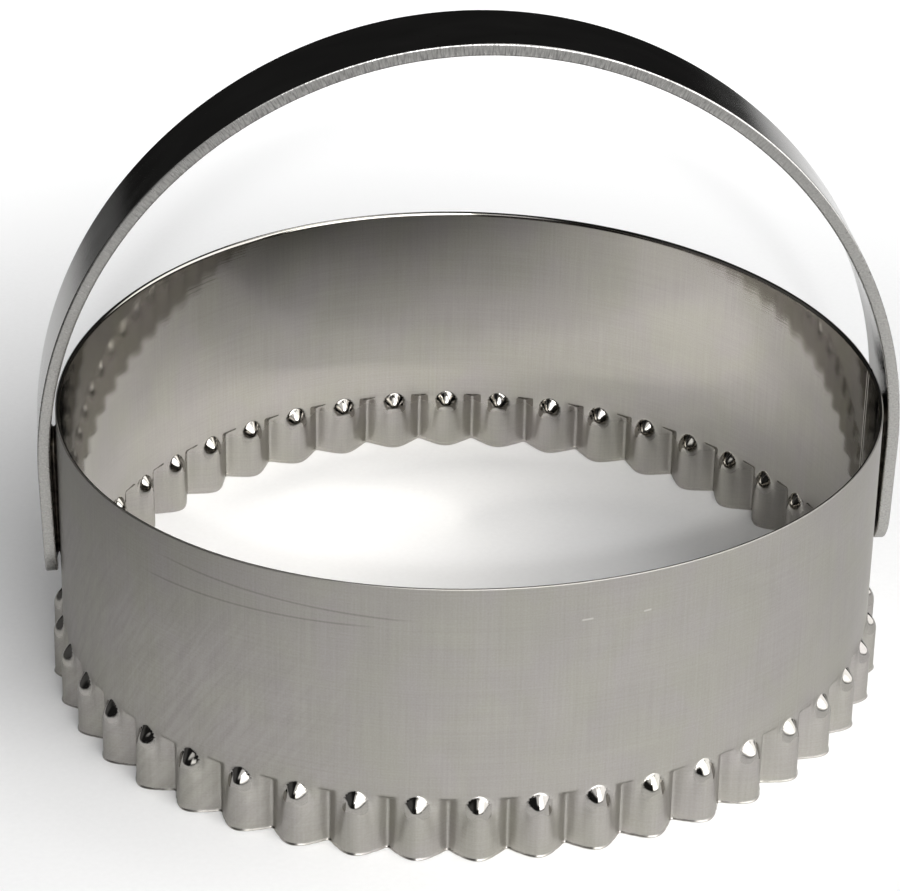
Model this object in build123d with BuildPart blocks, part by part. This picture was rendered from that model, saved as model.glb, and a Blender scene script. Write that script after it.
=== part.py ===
from build123d import *
import math
import os

# Round dough cutter: a ring of thin stainless sheet with a fluted cutting skirt,
# and an arched strap handle spot-welded to the outside of its wall.
# Millimetres, +Z up. The origin is the ring's centre in the plane of the cutting edge.
# The handle arches over the ring in the XZ plane.

# Ring, rolled from a strip of sheet
ring_diameter = 100.0   # outside of the plain wall
ring_height = 34.5      # cutting edge to rim
sheet = 0.5             # thickness of the strip
seam_width = 0.8        # butt weld that closes the strip, behind the right leg

# Flutes pressed into the skirt
flute_count = 45
flute_height = 7.8      # cutting edge to where the wall turns plain
fold_depth = 3.55       # crest corner to trough corner of the fold, before its bends are rounded
fold_shift = 0.42       # how far the middle of the fold lies outside the middle of the wall
crest_bend = 1.75       # inside radius of the round bend along each crest
trough_bend = 0.1       # inside radius of the sharp bend along each trough
shoulder_angle = 32.0   # slope of the flute tops, in degrees from the vertical

# Handle, bent from flat strip
strap_width = 11.0
strap_thickness = 1.5
strap_corner = 4.5      # rounded corners of the strip's ends, kept within its width
arch_drop = 6.4         # rim to the centre of the arch
rim_gap = 0.1           # strap to wall where the arch passes the rim
foot_gap = 0.1          # strap to wall at the lower ends of the legs, which lean in
leg_drop = 22.0         # rim to the ends of the strip

# Spot welds between each leg and the wall, which run together into one oblong nugget
weld_width = 6.0
weld_length = 18.8
weld_inset = 0.3        # end of the strip to the lower end of the nugget

# Values that follow from the sizes above
wall_radius = ring_diameter / 2
fold_radius = wall_radius - sheet / 2
crest_middle = crest_bend + sheet / 2       # bend radii at the middle of the sheet
trough_middle = trough_bend + sheet / 2
shoulder_slope = math.tan(math.radians(shoulder_angle))
half_pitch = 180.0 / flute_count
strap_inside = math.hypot(wall_radius + rim_gap, arch_drop)
strap_outside = strap_inside + strap_thickness
arch_centre = ring_height - arch_drop
leg_end = ring_height - leg_drop
leg_fall = leg_drop - arch_drop
foot_reach = wall_radius + foot_gap
leg_lean = math.atan2(leg_fall, foot_reach) - math.acos(strap_inside / math.hypot(foot_reach, leg_fall))
end_fillet = min(strap_corner, (strap_width - strap_thickness) / 2)
overrun = sheet         # how far the inner form passes beyond the sheet's ends
seam_reach = fold_depth + sheet

# The fold line runs through the middle of the sheet, with a crest on the +X axis.
crest_corner = fold_radius + fold_shift + fold_depth / 2
trough_corner = fold_radius + fold_shift - fold_depth / 2
flank_rise = crest_corner - trough_corner * math.cos(math.radians(half_pitch))
flank_run = trough_corner * math.sin(math.radians(half_pitch))
crest_lean = math.atan2(flank_run, flank_rise)          # flank to the crest's own radius
trough_lean = crest_lean + math.radians(half_pitch)     # flank to the trough's own radius


def shoulder_polygon(inradius, turn):
    """Polygon with one side to each flute, square to the crests or to the troughs."""
    return RegularPolygon(inradius, flute_count, major_radius=False, rotation=turn)


def fluted_form(face_shift, wall, bottom, top):
    """Solid bounded by one face of the sheet: flutes below, plain wall above.

    The face lies face_shift outside the fold line. Above the folds it closes in to
    the plain wall along sloping shoulders.
    """
    corners = []
    bends = []
    for fold in range(2 * flute_count):
        is_crest = fold % 2 == 0
        if is_crest:
            reach = crest_corner + face_shift / math.sin(crest_lean)
            bends.append(crest_middle + face_shift)
        else:
            reach = trough_corner + face_shift / math.sin(trough_lean)
            bends.append(trough_middle - face_shift)
        turn = math.radians(fold * half_pitch)
        corners.append((reach * math.cos(turn), reach * math.sin(turn)))
    shoulder_top = flute_height + overrun
    with BuildPart() as form:
        with BuildSketch(Plane.XY.offset(bottom)):
            with BuildLine():
                FilletPolyline(*corners, radius=bends, close=True)
            make_face()
        extrude(amount=shoulder_top - bottom)
        # Crest shoulders: one flat facet per crest, leaning out from the wall.
        with BuildSketch(Plane.XY.offset(bottom)):
            shoulder_polygon(wall + shoulder_slope * (flute_height - bottom), half_pitch)
        with BuildSketch(Plane.XY.offset(shoulder_top)):
            shoulder_polygon(wall - shoulder_slope * overrun, half_pitch)
        loft(ruled=True, mode=Mode.INTERSECT)
        # Plain wall
        with BuildSketch(Plane.XY.offset(flute_height)):
            Circle(wall)
        extrude(amount=top - flute_height)
    # Trough shoulders: one flat facet per trough, leaning in from the wall.
    with BuildPart() as trough_shoulders:
        with BuildSketch(Plane.XY.offset(bottom)):
            shoulder_polygon(wall - shoulder_slope * (flute_height - bottom), 0)
        with BuildSketch(Plane.XY.offset(flute_height)):
            shoulder_polygon(wall, 0)
        loft(ruled=True)
        with BuildSketch(Plane.XY.offset(bottom)):
            Circle(wall)
        extrude(amount=flute_height - bottom, mode=Mode.INTERSECT)
    with BuildPart() as whole_form:
        add(form.part)
        add(trough_shoulders.part)
    return whole_form


def leg_foot(reach):
    """How far a face of the strap lies from the handle's middle plane, at a leg's lower end."""
    return (reach - leg_fall * math.sin(leg_lean)) / math.cos(leg_lean)


def strap_face(reach):
    """Half of one face of the bent strap, seen from its side: the arch and a leg tangent to it."""
    arch = CenterArc((0, arch_centre), reach, 90, -90 - math.degrees(leg_lean))
    return Line(arch @ 1, (leg_foot(reach), leg_end))


def spot_welds(side):
    """The weld metal of one leg, which fills the space between the strap and the round wall."""
    with BuildPart() as nugget:
        with BuildSketch(Plane.YZ):
            with Locations((0, leg_end + weld_inset + weld_length / 2)):
                SlotOverall(weld_length, weld_width, rotation=90)
        extrude(amount=side * (strap_inside + strap_thickness / 2))
        Cylinder(wall_radius, 2 * ring_height, mode=Mode.SUBTRACT)
        add(handle_strap.part, mode=Mode.SUBTRACT)
    return nugget


# The fluted skirt is the form that takes the most skill: the outer and inner faces
# of the pressed sheet are made the same way and one is cut out of the other.
outer_form = fluted_form(sheet / 2, wall_radius, 0, ring_height)
inner_form = fluted_form(-sheet / 2, wall_radius - sheet, -overrun, ring_height + overrun)

with BuildPart() as rolled_strip:
    add(outer_form.part)
    add(inner_form.part, mode=Mode.SUBTRACT)

with BuildPart() as cutter_ring:
    add(rolled_strip.part)
    with Locations((wall_radius, 0, ring_height / 2)):
        Box(2 * seam_reach, seam_width, ring_height + 2 * overrun, mode=Mode.SUBTRACT)
cutter_ring.part.label = "cutter_ring"

with BuildPart() as ring_seam_weld:
    add(rolled_strip.part)
    with Locations((wall_radius, 0, ring_height / 2)):
        Box(2 * seam_reach, seam_width, ring_height + 2 * overrun, mode=Mode.INTERSECT)
ring_seam_weld.part.label = "ring_seam_weld"

with BuildPart() as handle_strap:
    with BuildSketch(Plane.XZ):
        with BuildLine():
            outer_leg = strap_face(strap_outside)
            inner_leg = strap_face(strap_inside)
            Line(outer_leg @ 1, inner_leg @ 1)
            mirror(about=Plane.YZ)
        make_face()
    extrude(amount=strap_width / 2, both=True)
    end_corners = handle_strap.edges().filter_by(Axis.X).group_by(Axis.Z)[0]
    fillet(end_corners, end_fillet)
handle_strap.part.label = "handle_strap"

left_spot_welds = spot_welds(-1)
left_spot_welds.part.label = "left_spot_welds"

right_spot_welds = spot_welds(1)
right_spot_welds.part.label = "right_spot_welds"

os.makedirs("parts", exist_ok=True)
export_step(cutter_ring.part, "parts/cutter_ring.step")
export_step(ring_seam_weld.part, "parts/ring_seam_weld.step")
export_step(handle_strap.part, "parts/handle_strap.step")
export_step(left_spot_welds.part, "parts/left_spot_welds.step")
export_step(right_spot_welds.part, "parts/right_spot_welds.step")
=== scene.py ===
import math

import bpy
import numpy as np
from mathutils import Matrix, Vector


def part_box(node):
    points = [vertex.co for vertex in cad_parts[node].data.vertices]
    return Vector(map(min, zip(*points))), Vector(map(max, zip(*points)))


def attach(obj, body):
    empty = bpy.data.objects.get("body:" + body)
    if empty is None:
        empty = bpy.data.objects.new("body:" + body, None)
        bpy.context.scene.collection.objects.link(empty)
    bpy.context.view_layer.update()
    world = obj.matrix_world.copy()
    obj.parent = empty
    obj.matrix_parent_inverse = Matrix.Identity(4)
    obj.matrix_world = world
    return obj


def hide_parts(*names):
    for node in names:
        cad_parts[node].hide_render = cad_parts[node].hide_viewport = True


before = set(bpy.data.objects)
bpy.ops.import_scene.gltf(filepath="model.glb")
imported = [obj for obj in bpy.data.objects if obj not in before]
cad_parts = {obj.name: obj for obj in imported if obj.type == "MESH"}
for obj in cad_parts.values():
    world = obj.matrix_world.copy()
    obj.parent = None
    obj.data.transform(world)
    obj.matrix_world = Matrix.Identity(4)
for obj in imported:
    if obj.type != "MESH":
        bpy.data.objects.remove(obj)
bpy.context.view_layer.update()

# Sizes, in metres. What the solid model holds is read from its parts.
MM = 0.001
ring_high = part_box("cutter_ring")[1]
strap_low, strap_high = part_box("handle_strap")
seam_low, seam_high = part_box("ring_seam_weld")

# Ring
rim_height = ring_high.z
wall_radius = 50.0 * MM           # outside of the plain wall
sheet = 0.5 * MM
sheet_middle = wall_radius - sheet / 2
rim_round = 0.13 * MM             # deburred corners of the rim
rim_bevel = 0.2 * MM              # how much thinner the rim's inner side is filed
bevel_height = 0.5 * MM
edge_round = 0.12 * MM            # rolled corners of the cutting edge
seam_half = (seam_high.y - seam_low.y) / 2
seam_crown = 0.015 * MM           # how far the weld bead stands proud of the sheet

# The rolled ring is a little out of round: partly oval, partly three-cornered
oval_swell = 0.65 * MM
oval_turn = math.radians(64.1)
corner_swell = 0.74 * MM
corner_turn = math.radians(-23.4)

# Flutes, as pressed: each face of the sheet has round ridges and sharp valleys
flute_count = 45
flute_height = 7.8 * MM
half_pitch = math.pi / flute_count
flute_turn = math.radians(2.1)    # where the press began
flute_drift = math.radians(0.85)  # how far the pressed flutes stray from an even pitch
drift_turn = math.radians(-20.6)
crest_rise = 1.24 * MM            # crest outside the plain wall, on the outer face
trough_fall = 1.22 * MM           # trough inside the plain wall, on the outer face
flute_sheet = 0.42 * MM           # thickness at the crests and troughs, thinned by the press
inner_rise = trough_fall + flute_sheet - sheet
ridge_width = 1.9 * MM            # how broadly a ridge is rounded
valley_round = 0.65 * MM          # softness of the valleys
ridge_runout = 2.2 * MM           # height over which the top of a ridge runs out into the wall
ridge_arch = 2.0 * MM             # how far the sides of a ridge end below its top
valley_slope = 1.5                # how steeply the end of a valley sinks in, as depth over height
valley_bend = 0.2 * MM            # rounding where the end of a valley leaves the wall
valley_drop = 0.4 * MM            # valleys end this far below the ridges
crease_power = 6                  # how tightly the end of a valley is creased
burr_height = 0.5 * MM            # lip left along the cutting edge by the shear
burr_reach = 0.2 * MM

# Where the press rubs a ridge smooth: near its crest, on its shoulder, and a little along the burr
rubbed_crest = (0.4, 0.65)        # from none to all between these shares of the ridge's height
rubbed_top = 0.02                 # begins over this first share of the run-out
rubbed_shoulder = 0.2             # fades over this last share of the run-out
rubbed_low = flute_height - 2.8 * MM   # none below this height
rubbed_full = flute_height - 2.2 * MM  # all above this height
rubbed_burr = 0.6
rubbed_burr_reach = 1.4           # in heights of the burr

# Rows and columns of the ring's mesh
burr_rows = 4
flank_rows = 8
shoulder_rows = 40
wall_rows = 8
rim_rows = 7
corner_rows = 4                   # round each corner of the sheet
flank_low = burr_height + 0.1 * MM
flank_high = flute_height - 3.2 * MM
shoulder_low = flute_height - 3.0 * MM
shoulder_high = flute_height + 0.6 * MM
wall_low = flute_height + 2.0 * MM
wall_high = rim_height - 1.2 * MM
rim_low = rim_height - bevel_height - 0.06 * MM
half_flute_columns = 16
seam_columns = 7
seam_clearance = 1.3              # no column is nearer to the seam, in half widths of the seam

# Handle
strap_outside = strap_high.x
strap_thickness = 1.5 * MM
strap_half = (strap_high.y - strap_low.y) / 2
strap_corner = 4.5 * MM
strap_top = strap_high.z
leg_end = strap_low.z
foot_gap = 0.1 * MM               # strap to wall at the lower ends of the legs
arch_height = strap_top - strap_outside
strap_middle = strap_outside - strap_thickness / 2
strap_inside = strap_outside - strap_thickness
foot_reach = wall_radius + foot_gap
leg_fall = arch_height - leg_end
foot_slant = math.hypot(foot_reach, leg_fall)
leg_lean = math.atan2(leg_fall, foot_reach) - math.acos(strap_inside / foot_slant)
leg_length = (leg_fall - strap_middle * math.sin(leg_lean)) / math.cos(leg_lean)
arch_sweep = math.pi + 2 * leg_lean
strap_length = 2 * leg_length + arch_sweep * strap_middle
edge_roll = 0.22 * MM             # rounding of the sheared edges
roll_support = 0.05 * MM          # flat strip of mesh beside the rounding
roll_steps = 5
strap_corner_steps = 12
strap_steps = 241

# The strap was bent and set by hand: its top is a little pointed, and it sits a little askew
strap_peak = 0.42 * MM
peak_power = 6                    # how narrow the point is
strap_tilt = math.radians(0.2)    # raises the right side
strap_shift = Vector((0.25, -0.65, -0.09)) * MM

# Weld nuggets
weld_width = 6.0 * MM
weld_length = 18.8 * MM
weld_inset = 0.3 * MM             # end of the strap to the lower end of the nugget
weld_sink = 0.03 * MM             # how far the weld has melted into both sides
weld_waist = 0.12                 # how far the middle of the nugget is drawn in, as a share
weld_core = 0.1                   # size of the flat middle of each end, as a share
weld_end_steps = 16
weld_side_steps = 11
weld_depth_steps = 6
weld_cap_steps = 5

# Camera, fitted to the photograph's 900 by 891 frame
image_width = 900
focal_pixels = 3512.9
camera_distance = 424.0 * MM      # from the centre of the rim
camera_elevation = math.radians(26.618)
camera_turn = math.radians(6.843)  # the handle's left leg is turned towards the camera
camera_pan = math.radians(-0.254)
camera_tilt = math.radians(-1.029)
camera_roll = math.radians(1.229)
camera_clip = 10.0 * MM
sensor_width = 36.0

# Lamp behind the camera and higher up. Its radiance is its brightness, as a plain colour.
lamp_size = 40.0 * MM
lamp_radiance = 820.0
lamp_azimuth = math.radians(0.7)  # from the camera's side of the object, to the right
lamp_reach = 1.0
lamp_height = 0.53

# Floor. Painted shade: the paper's colour darkens from each near distance to the far one, where the share of
# its brightness is left.
floor_reach = 6.0
paper_near, paper_far = 0.45, 0.8     # from the object
paper_far_share = 0.12
front_far, front_near = -0.2, -0.085  # along Y
front_share = 0.35
left_far, left_near = -0.15, -0.06    # along X
left_share = 0.12
right_near, right_far = 0.1, 0.25     # along X
right_share = 0.5
glow_start, glow_full = 0.09, 0.2     # the paper's glow rises away from the object; kept low near it, it keeps the object's shadow and paints a grey halo of shade round it
glow_least, glow_most = 0.03, 0.32


def make_object(name, vertices, faces, **layers):
    """A smooth-shaded mesh object; each layer of coordinates holds one pair for each vertex."""
    mesh = bpy.data.meshes.new(name)
    mesh.from_pydata([tuple(v) for v in vertices], [], [tuple(f) for f in faces])
    corners = np.empty(len(mesh.loops), dtype=np.int32)
    mesh.loops.foreach_get("vertex_index", corners)
    for layer_name, pairs in layers.items():
        layer = mesh.uv_layers.new(name=layer_name)
        layer.data.foreach_set("uv", np.asarray(pairs, dtype=np.float32)[corners].ravel())
    mesh.polygons.foreach_set("use_smooth", [True] * len(mesh.polygons))
    mesh.update()
    piece = bpy.data.objects.new(name, mesh)
    bpy.context.scene.collection.objects.link(piece)
    return piece


def place(piece, node, slot):
    """Hangs a finished piece on the part, in place of a node of the solid model."""
    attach(piece, "root")
    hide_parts(node)


# Ring
def ramp(value, low, high):
    """0 up to low, 1 from high on, and an even slope between them."""
    return np.clip((value - low) / (high - low), 0.0, 1.0)


def soft_maximum(a, b, width):
    """The larger of two values, with the crease between them rounded over width."""
    mix = np.clip(0.5 + 0.5 * (a - b) / width, 0.0, 1.0)
    return b + (a - b) * mix + width * mix * (1 - mix)


def soft_least(a, b):
    """The smaller of two lengths, with the crease between them rounded; zero where either is."""
    a, b = np.maximum(a, 0.0) / MM, np.maximum(b, 0.0) / MM
    never_zero = 1e-12
    return MM * a * b / (a ** crease_power + b ** crease_power + never_zero) ** (1 / crease_power)


def out_of_round(turn):
    """How far the wall lies outside a true circle at an angle round the ring."""
    oval = oval_swell * np.cos(2 * (turn - oval_turn))
    return oval + corner_swell * np.cos(3 * (turn - corner_turn))


def flute_offset(turn):
    """How far the flutes at an angle round the ring are turned from an even start on the +X axis."""
    return flute_turn - flute_drift * np.cos(turn - drift_turn)


def ridges(turn):
    """Fall of one face of the fold below its ridges: zero on a ridge, most in a sharp valley."""
    fall = crest_rise + trough_fall
    half_widths = sheet_middle * half_pitch / ridge_width
    steep = fall / (math.hypot(1.0, half_widths) - 1)
    share = np.abs((turn / (2 * half_pitch) + 0.5) % 1.0 - 0.5) * 2
    near = np.hypot(1.0, share * half_widths) - 1
    far = np.hypot(1.0, (2 - share) * half_widths) - 1
    return -soft_maximum(-steep * near, -steep * far, valley_round)


def ridge_run(fold, highest, height):
    """0 at the arched top of a ridge, 1 where it is full: soonest on its crest, slowly down its sides."""
    share = np.clip(fold / highest, 0.0, 1.0)
    top = flute_height - ridge_arch * (1 - share)
    return np.clip((top - height) / ridge_runout * share, 0.0, 1.0)


def sunk_end(height):
    """How far a valley may sink in at a height: almost nothing above its end, more and more below."""
    below = flute_height - valley_drop - height
    return valley_slope * (below + np.hypot(below, valley_bend)) / 2


def fold_rise(fold, highest, height):
    """The fold as pressed: a ridge where it is positive, a valley where it is negative."""
    ridge = fold * (1 - (1 - ridge_run(fold, highest, height)) ** 2)
    return np.where(fold > 0, ridge, -soft_least(-fold, sunk_end(height)))


def rubbed(fold, highest, height):
    """1 where the press has rubbed the sheet smooth: on the shoulders and along the cutting edge."""
    run = ridge_run(fold, highest, height)
    on_shoulder = ramp(1 - run, 0.0, rubbed_shoulder) * ramp(run, 0.0, rubbed_top)
    on_shoulder = on_shoulder * ramp(fold / highest, *rubbed_crest)
    on_shoulder = on_shoulder * ramp(height, rubbed_low, rubbed_full)
    on_burr = rubbed_burr * np.clip(rubbed_burr_reach - height / burr_height, 0.0, 1.0)
    return np.maximum(on_shoulder, on_burr)


def burr(height):
    """How far the lip along the cutting edge stands out at a height."""
    return burr_reach * np.clip(1 - height / burr_height, 0.0, 1.0) ** 2


def outer_fold(turn):
    return crest_rise - ridges(turn - flute_offset(turn))


def outer_face(turn, height):
    """Radius of the outer face: ridges stand out of the plain wall and valleys sink into it."""
    plain = wall_radius + out_of_round(turn) + burr(height)
    return plain + fold_rise(outer_fold(turn), crest_rise, height)


def inner_fold(turn):
    return inner_rise - ridges(turn - flute_offset(turn) + half_pitch)


def inner_face(turn, height):
    """Radius of the inner face, whose ridges are the backs of the outer face's valleys."""
    filed = rim_bevel * np.clip(1 - (rim_height - height) / bevel_height, 0.0, 1.0) ** 2
    plain = wall_radius + out_of_round(turn) - sheet + filed
    return plain - fold_rise(inner_fold(turn), inner_rise, height)


def sheet_heights():
    """Heights of the mesh rows of one face: close together where the flutes run out."""
    return np.concatenate(
        [
            np.linspace(edge_round, burr_height, burr_rows),
            np.linspace(flank_low, flank_high, flank_rows),
            np.linspace(shoulder_low, shoulder_high, shoulder_rows),
            np.linspace(wall_low, wall_high, wall_rows),
            np.linspace(rim_low, rim_height - rim_round, rim_rows),
        ]
    )


def sheet_rows():
    """Height of each row of one face, corners included, and how far the row is drawn in there."""
    heights = sheet_heights()
    bends = np.linspace(0, math.pi / 2, corner_rows + 1)[1:]
    low_bends = bends[::-1]
    low_rows = edge_round * (1 - np.sin(low_bends))
    high_rows = rim_height - rim_round * (1 - np.sin(bends))
    low_inset = edge_round * (1 - np.cos(low_bends))
    high_inset = rim_round * (1 - np.cos(bends))
    rows_up = np.concatenate([low_rows, heights, high_rows])
    return rows_up, np.concatenate([low_inset, np.zeros(len(heights)), high_inset])


def fold_turns():
    """Angles of the mesh columns over every flute, closest together on crests and in troughs."""
    even = np.linspace(0, math.pi, half_flute_columns + 1)[:-1]
    half_flute = half_pitch * (1 - np.cos(even)) / 2
    one_flute = np.concatenate([half_flute, [half_pitch], 2 * half_pitch - half_flute[:0:-1]])
    turns = np.concatenate([2 * half_pitch * flute + one_flute for flute in range(flute_count)])
    placed = turns + flute_offset(turns + flute_offset(turns))
    return np.sort(placed % (2 * math.pi))


def sheet_faces(columns, rows):
    """Faces of a band whose rows run up the outer face and down the inner one, with both ends closed."""
    index = np.arange(columns * rows).reshape(columns, rows)
    here, there = index[:-1], index[1:]
    up_here, up_there = np.roll(here, -1, axis=1), np.roll(there, -1, axis=1)
    faces = np.stack([here, there, up_there, up_here], axis=-1).reshape(-1, 4).tolist()
    for column, flip in ((index[0], False), (index[-1], True)):
        for row in range(rows // 2 - 1):
            strip = [column[row], column[row + 1], column[rows - 2 - row], column[rows - 1 - row]]
            faces.append(strip[::-1] if flip else strip)
    return faces


def sheet_mesh(name, turns, swell=0.0):
    """The sheet carried round the given angles, with rounded edges and its two ends closed.

    Its layers of coordinates hold the place on the surface, in millimetres round and up, and
    the finish: 0 outside or 1 inside, and how far the press has rubbed the sheet smooth.
    """
    rows_up, inset = sheet_rows()
    turn, height = np.meshgrid(turns, rows_up, indexing="ij")
    middle = (turns[0] + turns[-1]) / 2
    bulge = swell * np.cos((turn - middle) / (turns[-1] - turns[0]) * math.pi)
    outer = outer_face(turn, height) - inset + bulge
    inner = inner_face(turn, height) + inset - bulge
    outer_finish = np.stack([np.zeros_like(turn), rubbed(outer_fold(turn), crest_rise, height)], axis=-1)
    inner_finish = np.stack([np.ones_like(turn), rubbed(inner_fold(turn), inner_rise, height)], axis=-1)
    finish = np.concatenate([outer_finish, inner_finish[:, ::-1]], axis=1)
    turn = np.concatenate([turn, turn], axis=1)
    height = np.concatenate([height, height[:, ::-1]], axis=1)
    radius = np.concatenate([outer, inner[:, ::-1]], axis=1)
    points = np.stack([radius * np.cos(turn), radius * np.sin(turn), height], axis=-1)
    surface = np.stack([turn * wall_radius / MM, height / MM], axis=-1)
    return make_object(
        name,
        points.reshape(-1, 3).tolist(),
        sheet_faces(*turn.shape),
        surface=surface.reshape(-1, 2),
        finish=finish.reshape(-1, 2),
    )


seam_turn = seam_half / wall_radius
whole_turn = 2 * math.pi
first_turn = seam_clearance * seam_turn
all_turns = fold_turns()
open_turns = all_turns[(all_turns > first_turn) & (all_turns < whole_turn - first_turn)]
ring = sheet_mesh("ring", np.concatenate([[seam_turn], open_turns, [whole_turn - seam_turn]]))
seam = sheet_mesh("seam_weld", np.linspace(-seam_turn, seam_turn, seam_columns), seam_crown)


# Handle
def strap_point(distance, across, lift):
    """Point of the bent strap: along its middle line, across its width and out from its middle."""
    angle = (distance - leg_length) / strap_middle - leg_lean
    angle = min(max(angle, -leg_lean), math.pi + leg_lean)
    beyond = max(leg_length - distance, 0.0) - max(distance - strap_length + leg_length, 0.0)
    reach = strap_middle + lift
    x = -reach * math.cos(angle) + beyond * math.sin(leg_lean)
    z = reach * math.sin(angle) - abs(beyond) * math.cos(leg_lean)
    z += strap_peak * max(math.sin(angle), 0.0) ** peak_power
    askew = Matrix.Rotation(-strap_tilt, 3, "Y") @ Vector((x, across, z))
    return askew + strap_shift + Vector((0, 0, arch_height))


def strap_stations():
    """Places along the strap, each with its half width and the way that its outline faces there."""
    flat = strap_half - strap_corner
    corner = []
    for angle in np.linspace(0, math.pi / 2, strap_corner_steps + 1):
        distance = strap_corner * (1 - math.cos(angle))
        half = flat + strap_corner * math.sin(angle)
        corner.append((distance, half, (-math.cos(angle), math.sin(angle))))
    between = np.linspace(strap_corner, strap_length - strap_corner, strap_steps + 1)[1:-1]
    middle = [(distance, strap_half, (0.0, 1.0)) for distance in between]
    far = [(strap_length - d, h, (-n[0], n[1])) for d, h, n in reversed(corner)]
    return corner + middle + far


def strap_profile():
    """Sheared edge of the strap: (inset from the outline, distance from the strap's middle)."""
    half = strap_thickness / 2
    rolled = [
        (edge_roll * (1 - math.sin(a)), half - edge_roll * (1 - math.cos(a)))
        for a in np.linspace(0, math.pi / 2, roll_steps + 1)
    ]
    top = [(edge_roll + roll_support, half)] + rolled
    return top + [(inset, -lift) for inset, lift in reversed(top)]


def strap_faces(left, right):
    """Faces between the rings of vertices along the strap's two edges, on every side of the strap."""
    faces = []
    last = len(left[0]) - 1
    for station in range(len(left) - 1):
        near_left, far_left = left[station], left[station + 1]
        near_right, far_right = right[station], right[station + 1]
        for row in range(last):
            faces.append((near_left[row], near_left[row + 1], far_left[row + 1], far_left[row]))
            faces.append((near_right[row], far_right[row], far_right[row + 1], near_right[row + 1]))
        faces.append((near_left[0], far_left[0], far_right[0], near_right[0]))
        faces.append((near_left[last], near_right[last], far_right[last], far_left[last]))
    for row in range(last):
        faces.append((left[0][row], right[0][row], right[0][row + 1], left[0][row + 1]))
        faces.append((left[-1][row], left[-1][row + 1], right[-1][row + 1], right[-1][row]))
    return faces


def strap_mesh(name):
    """The bent strap; its layers of coordinates hold places on its faces and its edges, in millimetres."""
    stations = strap_stations()
    profile = strap_profile()
    vertices, rings = [], []
    on_face, on_edge = [], []
    for side in (1, -1):
        for distance, half, (along_out, across_out) in stations:
            ring_of_edge = []
            for inset, lift in profile:
                along = distance - inset * along_out
                across = side * (half - inset * across_out)
                ring_of_edge.append(len(vertices))
                vertices.append(strap_point(along, across, lift))
                on_face.append((along / MM, across / MM))
                on_edge.append((along / MM + across / MM, lift / MM))
            rings.append(ring_of_edge)
    faces = strap_faces(rings[:len(stations)], rings[len(stations):])
    return make_object(name, vertices, faces, surface=on_face, edge=on_edge)


strap = strap_mesh("strap_handle")


# Weld nuggets, which fill the space between the legs and the wall: partly the spot welds, partly painted
# shade, a near-black block for the shaded gap behind each leg
def weld_outline():
    """Points round an upright oblong with round ends, as (across, up) from its middle."""
    radius = weld_width / 2
    straight = weld_length / 2 - radius
    angles = np.linspace(0, math.pi, weld_end_steps + 1)
    round_end = [(radius * math.cos(a), radius * math.sin(a)) for a in angles]
    side = [(-radius, straight * share) for share in np.linspace(1, -1, weld_side_steps + 1)[1:-1]]
    upper = [(y, z + straight) for y, z in round_end]
    lower = [(-y, -z - straight) for y, z in round_end]
    return upper + side + lower + [(-y, -z) for y, z in side]


def weld_layers():
    """Outlines from the wall to the leg, each as (share of the way, size): an end, the side, an end."""
    caps = np.linspace(1.0, weld_core, weld_cap_steps + 1)
    sides = np.linspace(0, 1, weld_depth_steps + 1)[1:-1]
    layers = [(0.0, size) for size in caps[::-1]]
    layers += [(depth, 1 - weld_waist * (1 - (2 * depth - 1) ** 2)) for depth in sides]
    return layers + [(1.0, size) for size in caps]


def weld_point(side, across, along, depth):
    """Point of a nugget: across and along the leg, and from the wall, 0, to the leg, 1."""
    foot = 0 if side < 0 else strap_length
    leg = strap_point(abs(foot - along), across - strap_shift.y, -strap_thickness / 2)
    wall = outer_face(math.atan2(leg.y, leg.x), leg.z) - weld_sink
    wall_x = side * math.sqrt(wall ** 2 - leg.y ** 2)
    leg_x = leg.x + side * weld_sink
    return (wall_x + depth * (leg_x - wall_x), leg.y, leg.z)


def weld_mesh(name, side):
    """The nugget of one leg: side is -1 at the left and 1 at the right."""
    outline = weld_outline()
    layers = weld_layers()
    middle = weld_inset + weld_length / 2
    vertices, faces = [], []
    for depth, size in layers:
        for across, up in outline:
            vertices.append(weld_point(side, across * size, middle + up * size, depth))
    count = len(outline)
    for layer in range(len(layers) - 1):
        low, high = layer * count, (layer + 1) * count
        for step in range(count):
            after = (step + 1) % count
            face = (low + step, low + after, high + after, high + step)
            faces.append(face if side < 0 else face[::-1])
    last = (len(layers) - 1) * count
    for start, flip in ((0, side < 0), (last, side > 0)):
        cap = [start + step for step in range(count)]
        faces.append(cap[::-1] if flip else cap)
    return make_object(name, vertices, faces)


left_weld = weld_mesh("left_weld", -1)
right_weld = weld_mesh("right_weld", 1)


# Materials
noise_low, noise_high = 0.3, 0.7        # most of a noise lies between these


def add_node(tree, kind, **settings):
    node = tree.nodes.new(kind)
    for name, value in settings.items():
        setattr(node, name, value)
    return node


def feed(tree, socket, value):
    """Links a socket to another node's output, or sets it to a constant."""
    if isinstance(value, bpy.types.NodeSocket):
        tree.links.new(value, socket)
    else:
        socket.default_value = value


def calculate(tree, operation, *values, clamp=False):
    node = add_node(tree, "ShaderNodeMath", operation=operation, use_clamp=clamp)
    for socket, value in zip(node.inputs, values):
        feed(tree, socket, value)
    return node.outputs[0]


def plus(tree, total, *values):
    for value in values:
        total = calculate(tree, "ADD", total, value)
    return total


def times(tree, product, *values):
    for value in values:
        product = calculate(tree, "MULTIPLY", product, value)
    return product


def stretch_by(tree, vector, amounts):
    node = add_node(tree, "ShaderNodeVectorMath", operation="MULTIPLY")
    feed(tree, node.inputs[0], vector)
    feed(tree, node.inputs[1], amounts)
    return node.outputs[0]


def scale_by(tree, vector, amount):
    node = add_node(tree, "ShaderNodeVectorMath", operation="SCALE")
    feed(tree, node.inputs["Vector"], vector)
    feed(tree, node.inputs["Scale"], amount)
    return node.outputs[0]


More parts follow.
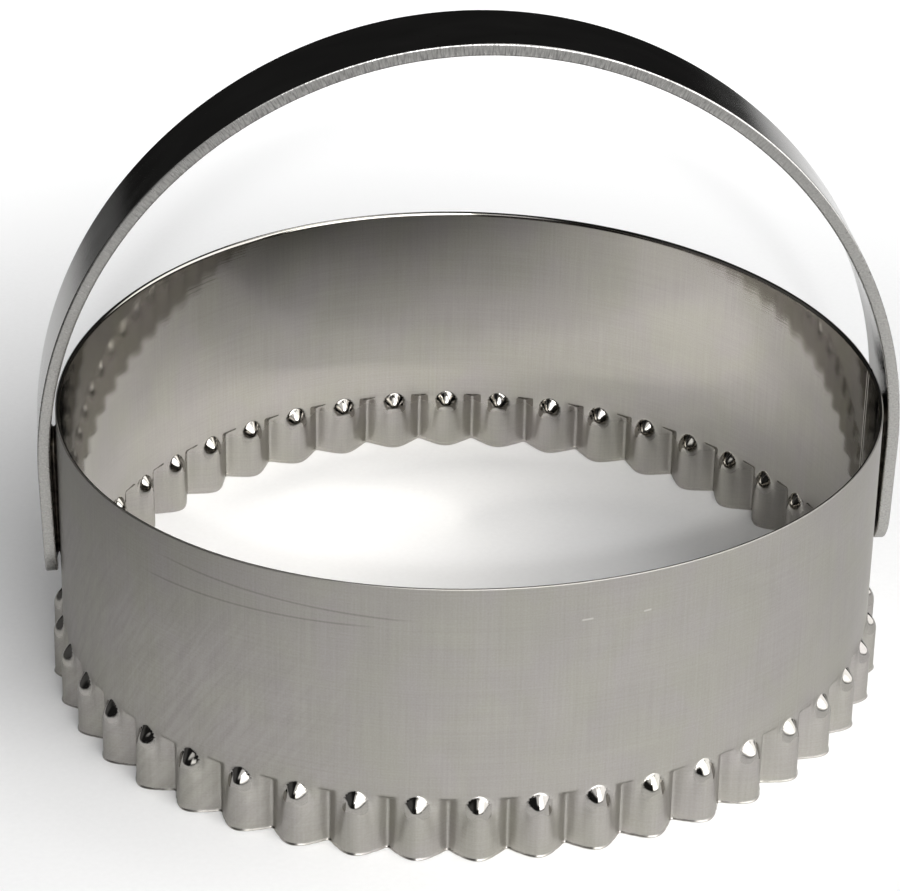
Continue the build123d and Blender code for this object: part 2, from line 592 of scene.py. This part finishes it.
def turn_by(tree, vector, angle):
    """A vector turned about the Z axis."""
    node = add_node(tree, "ShaderNodeVectorRotate", rotation_type="Z_AXIS")
    feed(tree, node.inputs["Vector"], vector)
    node.inputs["Angle"].default_value = angle
    return node.outputs[0]


def parts_of(tree, vector):
    """The X, Y and Z of a vector."""
    node = add_node(tree, "ShaderNodeSeparateXYZ")
    feed(tree, node.inputs[0], vector)
    return node.outputs["X"], node.outputs["Y"], node.outputs["Z"]


def remap(tree, value, low, high, to_low=0.0, to_high=1.0, smooth=False):
    kind = "SMOOTHSTEP" if smooth else "LINEAR"
    node = add_node(tree, "ShaderNodeMapRange", interpolation_type=kind, clamp=True)
    for name, amount in (("From Min", low), ("From Max", high), ("To Min", to_low), ("To Max", to_high)):
        node.inputs[name].default_value = amount
    feed(tree, node.inputs["Value"], value)
    return node.outputs["Result"]


def soft_band(tree, value, low, high, soft):
    """1 between low and high, 0 outside, with both sides softened."""
    rise = remap(tree, value, low - soft / 2, low + soft / 2, smooth=True)
    fall = remap(tree, value, high - soft / 2, high + soft / 2, 1.0, 0.0, smooth=True)
    return times(tree, rise, fall)


def noise(tree, place, stretch, detail=3.0, distortion=0.0):
    """Noise over millimetres of surface; stretch gives the features per millimetre along each axis."""
    node = add_node(tree, "ShaderNodeTexNoise")
    node.inputs["Scale"].default_value = 1.0
    node.inputs["Detail"].default_value = detail
    node.inputs["Distortion"].default_value = distortion
    feed(tree, node.inputs["Vector"], stretch_by(tree, place, stretch))
    return node.outputs["Fac"]


def spread(tree, noise_value, to_low, to_high):
    """Carries the range that most of a noise lies in to another range."""
    return remap(tree, noise_value, noise_low, noise_high, to_low, to_high)


def surface_place(tree, layer):
    return add_node(tree, "ShaderNodeUVMap", uv_map=layer).outputs["UV"]


def blend(tree, amount, first, second, kind="RGBA"):
    node = add_node(tree, "ShaderNodeMix", data_type=kind)
    feed(tree, node.inputs["Factor"], amount)
    feed(tree, node.inputs["A"], first)
    feed(tree, node.inputs["B"], second)
    return node.outputs["Result"]


def bumps(tree, height, depth, strength):
    node = add_node(tree, "ShaderNodeBump")
    node.inputs["Distance"].default_value = depth
    node.inputs["Strength"].default_value = strength
    feed(tree, node.inputs["Height"], height)
    return node.outputs["Normal"]


def start_steel(name):
    """A bare metal, with the nodes that its finish is added to."""
    material = bpy.data.materials.new(name)
    material.use_nodes = True
    tree = material.node_tree
    shader = tree.nodes["Principled BSDF"]
    shader.inputs["Metallic"].default_value = 1.0
    shader.inputs["Specular Tint"].default_value = (0.7, 0.7, 0.7, 1)
    return material, tree, shader


# Rolled sheet. Places on it are in millimetres, round the ring from the seam and up from the cutting edge.
sheet_grey = (0.415, 0.395, 0.378, 1)
sheet_straw = (0.41, 0.398, 0.358, 1)
sheet_cloud = (0.28, 0.27, 0.26, 1)
sheet_dark = (0.13, 0.12, 0.11, 1)
sheet_bare = (0.55, 0.53, 0.5, 1)       # bright metal in a nick
strain_lean = math.radians(34)
strain_left, strain_right = 150.0, 212.0
strain_soft = 30.0
strain_fade, strain_faded = 20.0, 30.0  # heights between which the strain marks fade
hairlines = (((195.0, 31.6), (223.0, 30.4)), ((192.0, 28.6), (219.0, 29.3)))
nicks = (((243.1, 29.7), (244.4, 29.75)), ((250.5, 29.55), (251.4, 29.6)))
mark_width = 0.16
mark_core = 0.3                         # share of its width that a mark is full over
mark_taper = 0.2                        # share of its length that each end of a mark fades over
hairline_depth = 0.32
# painted light and shade: the inside face's colour is drawn brighter and the outside's a little darker, as lit
# and shaded copies of one steel
inside_painted_light, outside_painted_shade = 1.12, 0.97
brushed_rough = 0.4                     # added to the outside
pressed_rough = 0.3                     # added to the flanks of the flutes, inside too
pressed_high, pressed_end = 5.0, 8.0    # heights between which that fades


def scratch(tree, along, up, start, end):
    """1 on a thin straight mark between two places on the surface, 0 beside it."""
    line = remap(tree, along, start[0], end[0], start[1], end[1])
    beside = calculate(tree, "ABSOLUTE", calculate(tree, "SUBTRACT", up, line))
    mark = remap(tree, beside, mark_core * mark_width, mark_width, 1.0, 0.0, smooth=True)
    length = soft_band(tree, along, start[0], end[0], mark_taper * (end[0] - start[0]))
    return times(tree, mark, length)


def strain_marks(tree, place, along, up):
    """Slanting marks where the sheet was strained above the flutes, about zero."""
    marks = noise(tree, turn_by(tree, place, strain_lean), (1.5, 0.16, 1.0), 3.0, 0.5)
    strained = soft_band(tree, along, strain_left, strain_right, strain_soft)
    low_down = remap(tree, up, strain_fade, strain_faded, 1.0, 0.25, smooth=True)
    return times(tree, calculate(tree, "SUBTRACT", marks, 0.5), strained, low_down)


def sheet_steel():
    """Rolled stainless strip: brushed along and across, strained above the flutes, a little scratched."""
    material, tree, shader = start_steel("ring_steel")
    place = surface_place(tree, "surface")
    along, up, _ = parts_of(tree, place)
    inside, smoothed, _ = parts_of(tree, surface_place(tree, "finish"))
    outside = remap(tree, inside, 0.4, 0.6, 1.0, 0.0)
    lines = noise(tree, place, (0.05, 5.0, 1.0), 4.0)
    brush = noise(tree, place, (3.4, 0.09, 1.0), 3.0)
    clouds = noise(tree, place, (0.11, 0.16, 1.0), 3.0, 0.8)
    tints = noise(tree, place, (0.16, 0.12, 1.0), 2.0, 0.5)
    grain = noise(tree, place, (4.5, 4.5, 1.0), 2.0)
    strain = strain_marks(tree, place, along, up)

    colour = blend(tree, remap(tree, tints, 0.35, 0.65), sheet_grey, sheet_straw)
    colour = blend(tree, spread(tree, clouds, 0.14, 0.0), colour, sheet_cloud)
    dim = remap(tree, lines, 0.35, 0.75, 0.0, 0.09)
    dim = plus(tree, dim, spread(tree, brush, 0.0, 0.1), spread(tree, grain, -0.03, 0.06))
    dim = plus(tree, dim, times(tree, strain, 0.5))
    for start, end in hairlines:
        dim = plus(tree, dim, times(tree, scratch(tree, along, up, start, end), hairline_depth))
    colour = blend(tree, calculate(tree, "ADD", dim, 0.0, clamp=True), colour, sheet_dark)
    for start, end in nicks:
        colour = blend(tree, scratch(tree, along, up, start, end), colour, sheet_bare)
    # painted light and shade: brighter colour inside the ring, a little darker outside
    colour = scale_by(tree, colour, remap(tree, outside, 0.0, 1.0, inside_painted_light, outside_painted_shade))
    feed(tree, shader.inputs["Base Color"], colour)

    polish = plus(tree, spread(tree, clouds, 0.05, 0.075), spread(tree, grain, -0.01, 0.02))
    pressed = remap(tree, up, pressed_high, pressed_end, pressed_rough, 0.0, smooth=True)
    dull = calculate(tree, "MAXIMUM", times(tree, outside, brushed_rough), pressed)
    kept = calculate(tree, "SUBTRACT", 1.0, smoothed, clamp=True)
    feed(tree, shader.inputs["Roughness"], plus(tree, polish, times(tree, dull, kept)))

    relief = plus(tree, lines, times(tree, clouds, 1.5), times(tree, strain, 3.0))
    feed(tree, shader.inputs["Normal"], bumps(tree, relief, depth=0.01 * MM, strength=0.35))
    return material


# Strap. Places on its edges are in millimetres: along from the left foot plus across, and out from its middle.
face_dark = (0.42, 0.41, 0.395, 1)
face_light = (0.5, 0.49, 0.47, 1)
face_speck = (0.3, 0.28, 0.25, 1)
torn_dark = (0.25, 0.246, 0.238, 1)
torn_light = (0.56, 0.55, 0.53, 1)
ground_dark = (0.34, 0.335, 0.32, 1)
ground_light = (0.46, 0.45, 0.43, 1)
torn_start, torn_end = 45.0, 125.0
torn_soft = 45.0
edge_inner, edge_outer = 0.66, 0.73     # the edge's finish gives way to the face's between these


def strap_steel():
    """Polished strap: mirror faces with fine lines, and edges torn by the shear, but ground on the legs."""
    material, tree, shader = start_steel("handle_steel")
    place = surface_place(tree, "surface")
    edge_place = surface_place(tree, "edge")
    along, out, _ = parts_of(tree, edge_place)
    lines = noise(tree, place, (0.06, 6.0, 1.0), 4.0)
    clouds = noise(tree, place, (0.12, 0.25, 1.0), 3.0, 0.6)
    specks = noise(tree, place, (1.6, 1.6, 1.0), 2.0)
    tears = noise(tree, edge_place, (4.2, 0.8, 1.0), 3.0, 0.4)
    filing = noise(tree, edge_place, (5.0, 4.0, 1.0), 3.0)
    torn = soft_band(tree, along, torn_start, torn_end, torn_soft)
    on_edge = remap(tree, calculate(tree, "ABSOLUTE", out), edge_inner, edge_outer, 1.0, 0.0)

    face = blend(tree, spread(tree, clouds, 0.0, 1.0), face_dark, face_light)
    face = blend(tree, remap(tree, specks, 0.68, 0.74), face, face_speck)
    torn_colour = blend(tree, remap(tree, tears, 0.34, 0.66), torn_dark, torn_light)
    ground_colour = blend(tree, spread(tree, filing, 0.0, 1.0), ground_dark, ground_light)
    edge = blend(tree, torn, ground_colour, torn_colour)
    feed(tree, shader.inputs["Base Color"], blend(tree, on_edge, face, edge))

    face_rough = spread(tree, clouds, 0.08, 0.15)
    edge_rough = spread(tree, tears, 0.42, 0.24)
    feed(tree, shader.inputs["Roughness"], blend(tree, on_edge, face_rough, edge_rough, "FLOAT"))

    relief = plus(tree, lines, times(tree, tears, torn, on_edge, 4.0))
    feed(tree, shader.inputs["Normal"], bumps(tree, relief, depth=0.012 * MM, strength=0.4))
    return material


# Weld metal
# painted shade: the nuggets are drawn near black for the shaded gap between each leg and the wall
nugget_painted_shade_dark = (0.05, 0.045, 0.04, 1)
nugget_painted_shade_light = (0.14, 0.12, 0.1, 1)
seam_dark = (0.33, 0.315, 0.29, 1)
seam_light = (0.43, 0.415, 0.39, 1)


def weld_metal(name, dark, light, smooth, rough):
    """Weld metal: mottled between two colours and two roughnesses; browned by the heat on the seam, and near
    black on the nuggets as painted shade.
    """
    material, tree, shader = start_steel(name)
    place = scale_by(tree, add_node(tree, "ShaderNodeTexCoord").outputs["Object"], 1 / MM)
    spots = noise(tree, place, (0.9, 0.9, 0.9), 4.0, 0.5)
    pits = noise(tree, place, (4.0, 4.0, 4.0), 3.0)
    feed(tree, shader.inputs["Base Color"], blend(tree, remap(tree, spots, 0.35, 0.65), dark, light))
    feed(tree, shader.inputs["Roughness"], spread(tree, pits, smooth, rough))
    feed(tree, shader.inputs["Normal"], bumps(tree, pits, depth=0.03 * MM, strength=0.5))
    return material


ring_steel = sheet_steel()
handle_steel = strap_steel()
# painted shade of the gap between the legs and the wall
nugget_painted_shade_steel = weld_metal("nugget_painted_shade_steel", nugget_painted_shade_dark, nugget_painted_shade_light, smooth=0.3, rough=0.5)
seam_steel = weld_metal("seam_steel", seam_dark, seam_light, smooth=0.1, rough=0.18)
ring.data.materials.append(ring_steel)
seam.data.materials.append(seam_steel)
strap.data.materials.append(handle_steel)
left_weld.data.materials.append(nugget_painted_shade_steel)
right_weld.data.materials.append(nugget_painted_shade_steel)

place(ring, "cutter_ring", "ring_steel")
place(seam, "ring_seam_weld", "weld_steel")
place(strap, "handle_strap", "handle_steel")
place(left_weld, "left_spot_welds", "weld_steel")
place(right_weld, "right_spot_welds", "weld_steel")


# Floor: pale paper near the object, with painted shade at the front, the sides and far away
def paper():
    material = bpy.data.materials.new("floor_paper")
    material.use_nodes = True
    tree = material.node_tree
    shader = tree.nodes["Principled BSDF"]
    place = add_node(tree, "ShaderNodeTexCoord").outputs["Object"]
    length = add_node(tree, "ShaderNodeVectorMath", operation="LENGTH")
    feed(tree, length.inputs[0], place)
    away = length.outputs["Value"]
    across, deep, _ = parts_of(tree, place)
    # painted shade: darkens the paper's colour and glow at the front, the sides and far away
    near = times(
        tree,
        remap(tree, away, paper_near, paper_far, 1.0, paper_far_share, smooth=True),
        remap(tree, deep, front_far, front_near, front_share, 1.0, smooth=True),
        remap(tree, across, left_far, left_near, left_share, 1.0, smooth=True),
        remap(tree, across, right_near, right_far, 1.0, right_share, smooth=True),
    )
    grain = noise(tree, scale_by(tree, place, 1 / MM), (1.5, 1.5, 1.5), 2.0)
    pale = times(tree, near, spread(tree, grain, 0.87, 0.89))
    feed(tree, shader.inputs["Base Color"], scale_by(tree, (1.0, 1.0, 1.0), pale))
    shader.inputs["Roughness"].default_value = 1.0
    shader.inputs["Specular IOR Level"].default_value = 0.0
    path = add_node(tree, "ShaderNodeLightPath").outputs
    seen = calculate(tree, "ADD", path["Is Camera Ray"], path["Is Glossy Ray"])
    seen = calculate(tree, "ADD", seen, path["Is Transmission Ray"], clamp=True)
    # the glow is kept low near the object, which keeps its shadow and paints a grey halo of shade round it
    glow = remap(tree, away, glow_start, glow_full, glow_least, glow_most, smooth=True)
    shader.inputs["Emission Color"].default_value = (1, 1, 1, 1)
    feed(tree, shader.inputs["Emission Strength"], times(tree, seen, near, glow))
    return material


floor_mesh = bpy.data.meshes.new("floor")
floor_corners = [(x * floor_reach, y * floor_reach, 0) for x, y in ((-1, -1), (1, -1), (1, 1), (-1, 1))]
floor_mesh.from_pydata(floor_corners, [], [(0, 1, 2, 3)])
floor = bpy.data.objects.new("floor", floor_mesh)
bpy.context.scene.collection.objects.link(floor)
floor.data.materials.append(paper())


# Camera
def aim_camera():
    """Makes the camera: it looks at the centre of the rim, then pans, tilts and rolls a little."""
    rim_centre = Vector((0, 0, rim_height))
    level_reach = math.cos(camera_elevation)
    back = Vector(
        (
            -math.sin(camera_turn) * level_reach,
            -math.cos(camera_turn) * level_reach,
            math.sin(camera_elevation),
        )
    )
    ahead = -back
    right = Vector((math.cos(camera_turn), -math.sin(camera_turn), 0))
    up = right.cross(ahead)
    panned = math.cos(camera_pan) * ahead + math.sin(camera_pan) * right
    ahead = math.cos(camera_tilt) * panned + math.sin(camera_tilt) * up
    right = ahead.cross(up).normalized()
    up = right.cross(ahead)
    turned_right = math.cos(camera_roll) * right + math.sin(camera_roll) * up
    turned_up = math.cos(camera_roll) * up - math.sin(camera_roll) * right
    data = bpy.data.cameras.new("camera")
    data.sensor_fit = "HORIZONTAL"
    data.sensor_width = sensor_width
    data.lens = sensor_width * focal_pixels / image_width
    data.clip_start = camera_clip
    camera = bpy.data.objects.new("camera", data)
    axes = Matrix((turned_right, turned_up, -ahead)).transposed().to_4x4()
    camera.matrix_world = Matrix.Translation(rim_centre + camera_distance * back) @ axes
    bpy.context.scene.collection.objects.link(camera)
    bpy.context.scene.camera = camera


aim_camera()


# Light
def add_front_lamp():
    """A small round lamp that throws the wall's shadow into the ring."""
    data = bpy.data.lights.new("front_lamp", "AREA")
    data.shape = "ELLIPSE"
    data.size = lamp_size
    data.size_y = lamp_size
    area = lamp_size * lamp_size * math.pi / 4
    data.energy = lamp_radiance * math.pi * area
    turn = lamp_azimuth - camera_turn
    lamp = bpy.data.objects.new("front_lamp", data)
    lamp.location = (lamp_reach * math.sin(turn), -lamp_reach * math.cos(turn), lamp_height)
    lamp.rotation_euler = lamp.location.to_track_quat("Z", "Y").to_euler()
    bpy.context.scene.collection.objects.link(lamp)


def room():
    """A dark room with soft bright patches at the front, the right and overhead, as of windows and walls."""
    world = bpy.data.worlds.new("room")
    world.use_nodes = True
    tree = world.node_tree
    way = turn_by(tree, add_node(tree, "ShaderNodeTexCoord").outputs["Generated"], camera_turn)
    right, away, up = parts_of(tree, way)
    towards = times(tree, away, -1.0)
    azimuth = calculate(tree, "DEGREES", calculate(tree, "ARCTAN2", right, towards))
    elevation = calculate(tree, "DEGREES", calculate(tree, "ARCSINE", up))

    def patch(brightness, left_right, low_high, soft=14):
        """Degrees of azimuth, from the camera's side to the right, and of elevation."""
        across = soft_band(tree, azimuth, *left_right, soft)
        upward = soft_band(tree, elevation, *low_high, soft)
        return times(tree, across, upward, brightness)

    front_window = patch(4.8, (2, 66), (4, 50))
    window_head = patch(1.6, (2, 66), (50, 60))
    front_wall = patch(1.2, (-28, 2), (24, 54))
    right_wall = patch(2.4, (66, 120), (-2, 42))
    back_ceiling = patch(2.3, (90, 170), (58, 74))
    left_wall = patch(0.1, (-120, -60), (-10, 30), soft=20)
    dark_room = 0.02
    total = plus(tree, front_window, front_wall, right_wall, window_head, back_ceiling, left_wall, dark_room)
    background = tree.nodes["Background"]
    background.inputs["Color"].default_value = (1.0, 1.0, 1.0, 1)
    feed(tree, background.inputs["Strength"], total)
    return world


add_front_lamp()
bpy.context.scene.world = room()
bpy.context.scene.view_settings.view_transform = "Standard"
bpy.context.scene.cycles.blur_glossy = 0.0   # keeps the light that the ring's wall gathers on the floor

bpy.context.view_layer.update()
